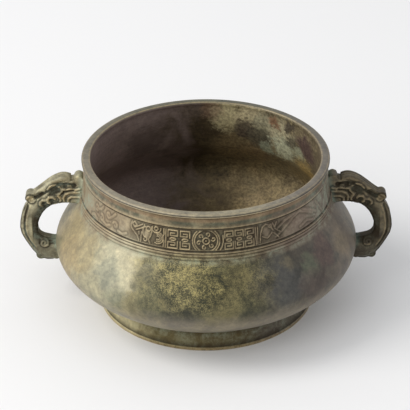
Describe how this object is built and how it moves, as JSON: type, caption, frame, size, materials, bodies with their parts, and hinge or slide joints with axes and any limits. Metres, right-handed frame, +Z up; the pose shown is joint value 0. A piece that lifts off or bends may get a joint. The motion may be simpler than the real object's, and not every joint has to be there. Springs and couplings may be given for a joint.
{
  "type": "bronze incense burner",
  "caption": "Low wide-bellied bronze incense burner on a foot ring, with a cast ornament band round the neck and beast-head loop handles.",
  "frame": {"origin": "centre of the foot ring, on its resting face", "axes": "+Z up through the mouth, +X along the line of the two handles, -Y towards the front ornament roundel"},
  "size_m": [0.218, 0.1762, 0.0932],
  "materials": {
    "body_bronze": "cast bronze with a mottled olive, ochre and blue-grey patina, worn to bright metal on edges",
    "handle_bronze": "cast bronze, grey-green patina with verdigris at the brazed joints"
  },
  "bodies": {
    "root": {"vessel": "body_bronze", "handle_left": "handle_bronze", "handle_right": "handle_bronze"}
  },
  "joints": []
}
